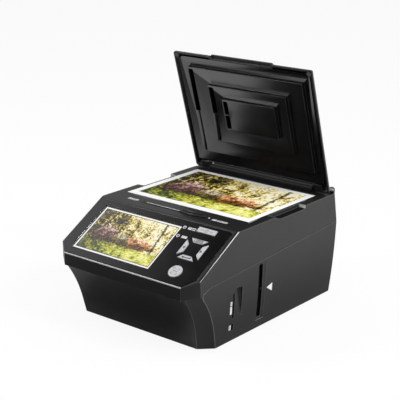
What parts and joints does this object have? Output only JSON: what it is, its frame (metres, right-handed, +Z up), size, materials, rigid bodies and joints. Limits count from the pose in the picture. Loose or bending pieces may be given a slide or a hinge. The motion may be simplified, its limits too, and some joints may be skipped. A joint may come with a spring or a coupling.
{
  "type": "film negative scanner",
  "caption": "Desktop scanner with a hinged photo lid, glass platen, sloped screen and key panel, mode slide and side film slot.",
  "frame": {"origin": "on the table under the middle of the case, at the feet's lower faces", "axes": "+Z up, +X to the user's right, +Y to the rear, front panel towards -Y"},
  "size_m": [0.2028, 0.268, 0.2787],
  "materials": {
    "black_plastic": "fine textured moulded plastic",
    "lid_plastic": "fine textured moulded plastic",
    "hinge_plastic": "satin moulded plastic",
    "gloss_black": "polished piano black",
    "key_silver": "satin silver paint on plastic",
    "rubber": "matt rubber",
    "grey_rubber": "matt rubber",
    "screen": "lit colour display",
    "clear_window": "polished clear",
    "clear_glass": "polished plate glass",
    "photo_paper": "glossy photo paper",
    "steel": "zinc plated",
    "board_green": "solder mask",
    "chip_black": "moulded epoxy",
    "light_white": "milky light guide",
    "white_plastic": "matt white",
    "carrier_plastic": "matt moulded plastic",
    "optic_black": "flat black",
    "mirror": "front silvered",
    "lens_glass": "coated lens"
  },
  "bodies": {
    "case": {"lower_case": "black_plastic", "upper_case": "black_plastic", "rubber_feet": "rubber", "case_screws": "steel", "panel_bezel": "gloss_black", "screen_window": "clear_window", "screen_module": "screen", "panel_frame": "steel", "key_board": "board_green", "key_switches": "chip_black", "indicator_leds": "light_white", "light_pipes": "light_white", "platen_glass": "clear_glass", "glass_gasket": "rubber", "photo_print": "photo_paper", "hinge_bar": "hinge_plastic", "hinge_pin_left": "steel", "hinge_pin_right": "steel", "guide_rod_front": "steel", "guide_rod_rear": "steel", "camera_bracket": "steel", "camera_board": "board_green", "camera_body": "optic_black", "camera_lens": "lens_glass", "film_guide": "optic_black", "film_light_box": "white_plastic", "film_diffuser": "light_white", "film_light_board": "white_plastic", "photo_light_left": "white_plastic", "photo_light_right": "white_plastic", "photo_leds": "light_white", "main_board": "board_green", "board_screws": "steel", "board_chips": "chip_black", "side_board": "board_green", "card_socket": "steel", "port_socket": "steel"},
    "lid": {"lid_shell": "black_plastic", "lid_plate": "lid_plastic", "lid_bumpers": "grey_rubber"},
    "selector": {"selector_knob": "black_plastic", "selector_carrier": "carrier_plastic", "mode_arm": "steel", "mode_carriage": "optic_black", "photo_mirror": "mirror", "close_up_lens": "lens_glass"},
    "power_key": {"power_key": "key_silver"},
    "menu_key": {"menu_key": "key_silver"},
    "left_key": {"left_key": "key_silver"},
    "right_key": {"right_key": "key_silver"},
    "enter_key": {"enter_key": "key_silver"},
    "scan_key": {"scan_key": "key_silver"}
  },
  "joints": [
    {"name": "lid_hinge", "type": "hinge", "parent": "case", "child": "lid", "pos_m": [0, 0.1165, 0.1281], "axis": [1, 0, 0], "range_deg": [-16.2, 73.8]},
    {"name": "mode_slide", "type": "slide", "parent": "case", "child": "selector", "axis": [-1, 0, 0], "range_m": [0, 0.05]},
    {"name": "power_key_press", "type": "slide", "parent": "case", "child": "power_key", "axis": [0, 0.5013, -0.8653], "range_m": [0, 0.0009], "stiffness_N_per_m": 300},
    {"name": "menu_key_press", "type": "slide", "parent": "case", "child": "menu_key", "axis": [0, 0.5013, -0.8653], "range_m": [0, 0.0009], "stiffness_N_per_m": 300},
    {"name": "left_key_press", "type": "slide", "parent": "case", "child": "left_key", "axis": [0, 0.5013, -0.8653], "range_m": [0, 0.0009], "stiffness_N_per_m": 300},
    {"name": "right_key_press", "type": "slide", "parent": "case", "child": "right_key", "axis": [0, 0.5013, -0.8653], "range_m": [0, 0.0009], "stiffness_N_per_m": 300},
    {"name": "enter_key_press", "type": "slide", "parent": "case", "child": "enter_key", "axis": [0, 0.5013, -0.8653], "range_m": [0, 0.0009], "stiffness_N_per_m": 300},
    {"name": "scan_key_press", "type": "slide", "parent": "case", "child": "scan_key", "axis": [0, 0.5013, -0.8653], "range_m": [0, 0.0009], "stiffness_N_per_m": 300}
  ]
}
